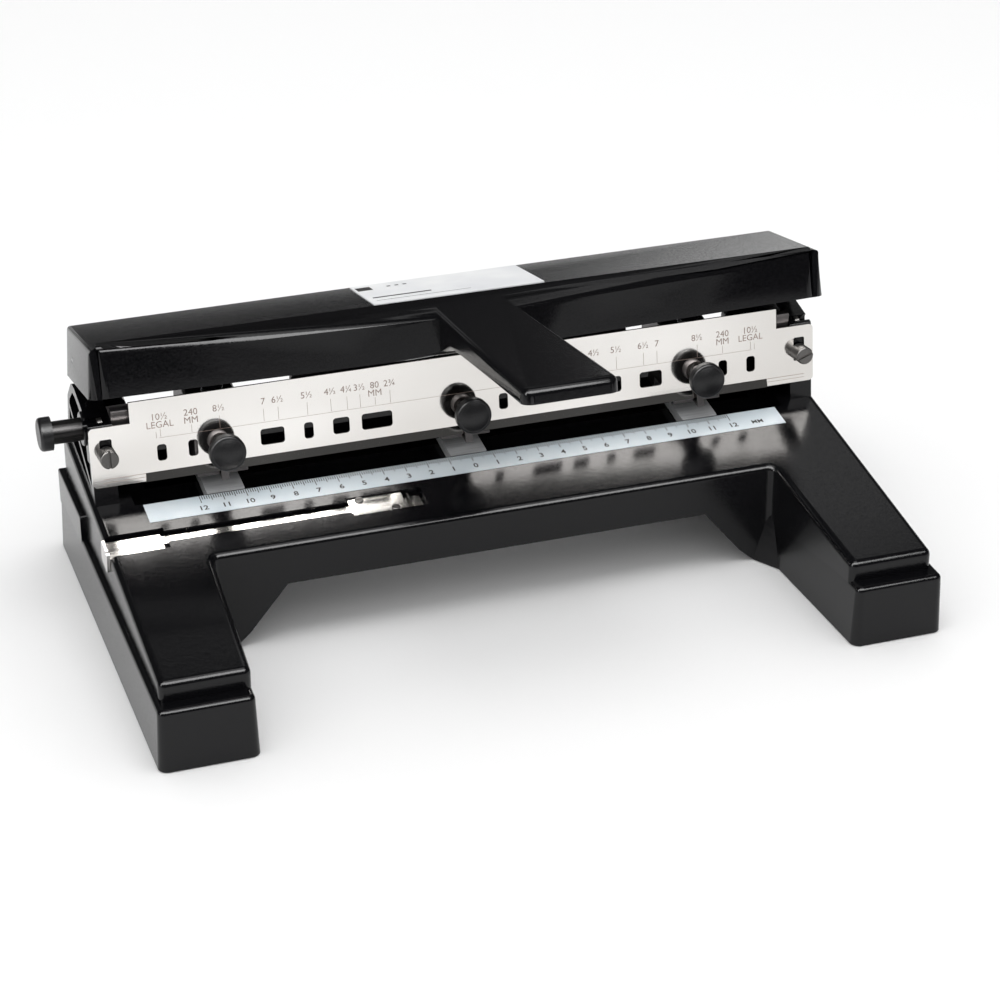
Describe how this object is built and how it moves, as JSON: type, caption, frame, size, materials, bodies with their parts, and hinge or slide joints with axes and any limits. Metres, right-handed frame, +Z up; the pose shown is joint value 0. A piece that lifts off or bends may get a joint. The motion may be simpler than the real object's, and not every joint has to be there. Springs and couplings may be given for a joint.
{
  "type": "adjustable three-hole punch",
  "caption": "Heavy-duty paper punch with a hinged cross lever, sliding punch heads with pull knobs on an index plate, a scale on the deck and a side stop.",
  "frame": {"origin": "centre of the box round the whole object, on the surface that it stands on", "axes": "+X to the user's right along the lever's bar, +Y to the rear, +Z up"},
  "size_m": [0.3502, 0.1972, 0.1399],
  "materials": {
    "enamel": "gloss black enamel with a fine orange-peel",
    "stainless": "polished stainless",
    "steel": "plain machined steel",
    "dark_steel": "dark zinc-plated steel",
    "black_plastic": "matt moulded plastic",
    "scale_blue": "printed plastic strip",
    "label_face": "printed label",
    "pad_rubber": "matt"
  },
  "bodies": {
    "base": {"base_casting": "enamel", "rubber_feet": "pad_rubber", "scale_strip": "scale_blue", "side_stop_guide": "stainless", "side_stop_screws": "dark_steel", "side_stop_clip": "stainless", "index_plate": "stainless", "plate_screws": "dark_steel", "left_end_bracket": "enamel", "right_end_bracket": "enamel", "bracket_screws": "dark_steel", "front_guide_bar": "dark_steel", "rear_guide_bar": "dark_steel", "rail_screws": "dark_steel", "plunger_spring": "steel"},
    "lever": {"lever_casting": "enamel", "lever_label": "label_face", "presser_rod": "steel", "pivot_pins": "steel"},
    "plunger": {"lock_plunger": "steel", "plunger_button": "black_plastic"},
    "side_stop": {"side_stop_slide": "stainless"},
    "tray": {"chip_tray": "black_plastic"},
    "left_head": {"left_head_body": "dark_steel", "left_die_shoe": "steel", "left_knob_carrier": "stainless", "left_punch_spring": "steel", "left_index_spring": "steel"},
    "left_punch": {"left_punch_pin": "steel", "left_pin_cap": "black_plastic"},
    "left_puller": {"left_knob": "black_plastic", "left_index_pin": "steel"},
    "centre_head": {"centre_head_body": "dark_steel", "centre_die_shoe": "steel", "centre_knob_carrier": "stainless", "centre_punch_spring": "steel", "centre_index_spring": "steel"},
    "centre_punch": {"centre_punch_pin": "steel", "centre_pin_cap": "black_plastic"},
    "centre_puller": {"centre_knob": "black_plastic", "centre_index_pin": "steel"},
    "right_head": {"right_head_body": "dark_steel", "right_die_shoe": "steel", "right_knob_carrier": "stainless", "right_punch_spring": "steel", "right_index_spring": "steel"},
    "right_punch": {"right_punch_pin": "steel", "right_pin_cap": "black_plastic"},
    "right_puller": {"right_knob": "black_plastic", "right_index_pin": "steel"}
  },
  "joints": [
    {"name": "lever_pivot", "type": "hinge", "parent": "base", "child": "lever", "pos_m": [0.0071, 0.06418, 0.10401], "axis": [1, 0, 0], "range_deg": [0, 19.6], "stiffness_Nm_per_rad": 4, "springref_deg": -25.78},
    {"name": "left_head_slide", "type": "slide", "parent": "base", "child": "left_head", "axis": [1, 0, 0], "range_m": [-0.0254, 0.073]},
    {"name": "left_punch_stroke", "type": "slide", "parent": "left_head", "child": "left_punch", "axis": [0, 0.1288, -0.9917], "range_m": [0, 0.0068], "deforming": ["left_punch_spring"]},
    {"name": "left_knob_pull", "type": "slide", "parent": "left_head", "child": "left_puller", "axis": [0, -0.9914, 0.1305], "range_m": [0, 0.0022], "stiffness_N_per_m": 250, "springref_m": -0.002, "deforming": ["left_index_spring"]},
    {"name": "centre_head_slide", "type": "slide", "parent": "base", "child": "centre_head", "axis": [1, 0, 0], "range_m": [-0.009, 0.009]},
    {"name": "centre_punch_stroke", "type": "slide", "parent": "centre_head", "child": "centre_punch", "axis": [0, 0.1288, -0.9917], "range_m": [0, 0.0068], "deforming": ["centre_punch_spring"]},
    {"name": "centre_knob_pull", "type": "slide", "parent": "centre_head", "child": "centre_puller", "axis": [0, -0.9914, 0.1305], "range_m": [0, 0.0022], "stiffness_N_per_m": 250, "springref_m": -0.002, "deforming": ["centre_index_spring"]},
    {"name": "right_head_slide", "type": "slide", "parent": "base", "child": "right_head", "axis": [1, 0, 0], "range_m": [-0.073, 0.0254]},
    {"name": "right_punch_stroke", "type": "slide", "parent": "right_head", "child": "right_punch", "axis": [0, 0.1288, -0.9917], "range_m": [0, 0.0068], "deforming": ["right_punch_spring"]},
    {"name": "right_knob_pull", "type": "slide", "parent": "right_head", "child": "right_puller", "axis": [0, -0.9914, 0.1305], "range_m": [0, 0.0022], "stiffness_N_per_m": 250, "springref_m": -0.002, "deforming": ["right_index_spring"]},
    {"name": "plunger_push", "type": "slide", "parent": "base", "child": "plunger", "axis": [1, 0, 0], "range_m": [0, 0.004], "stiffness_N_per_m": 300, "springref_m": -0.002, "deforming": ["plunger_spring"]},
    {"name": "side_stop_slide_out", "type": "slide", "parent": "base", "child": "side_stop", "axis": [-1, 0, 0], "range_m": [0, 0.02]},
    {"name": "tray_slide_out", "type": "slide", "parent": "base", "child": "tray", "axis": [0, 1, 0], "range_m": [0, 0.06]}
  ],
  "couplings": [
    {"joint": "left_punch_stroke", "follows": "lever_pivot", "m_per_rad": 0.0196},
    {"joint": "centre_punch_stroke", "follows": "lever_pivot", "m_per_rad": 0.0196},
    {"joint": "right_punch_stroke", "follows": "lever_pivot", "m_per_rad": 0.0196}
  ]
}
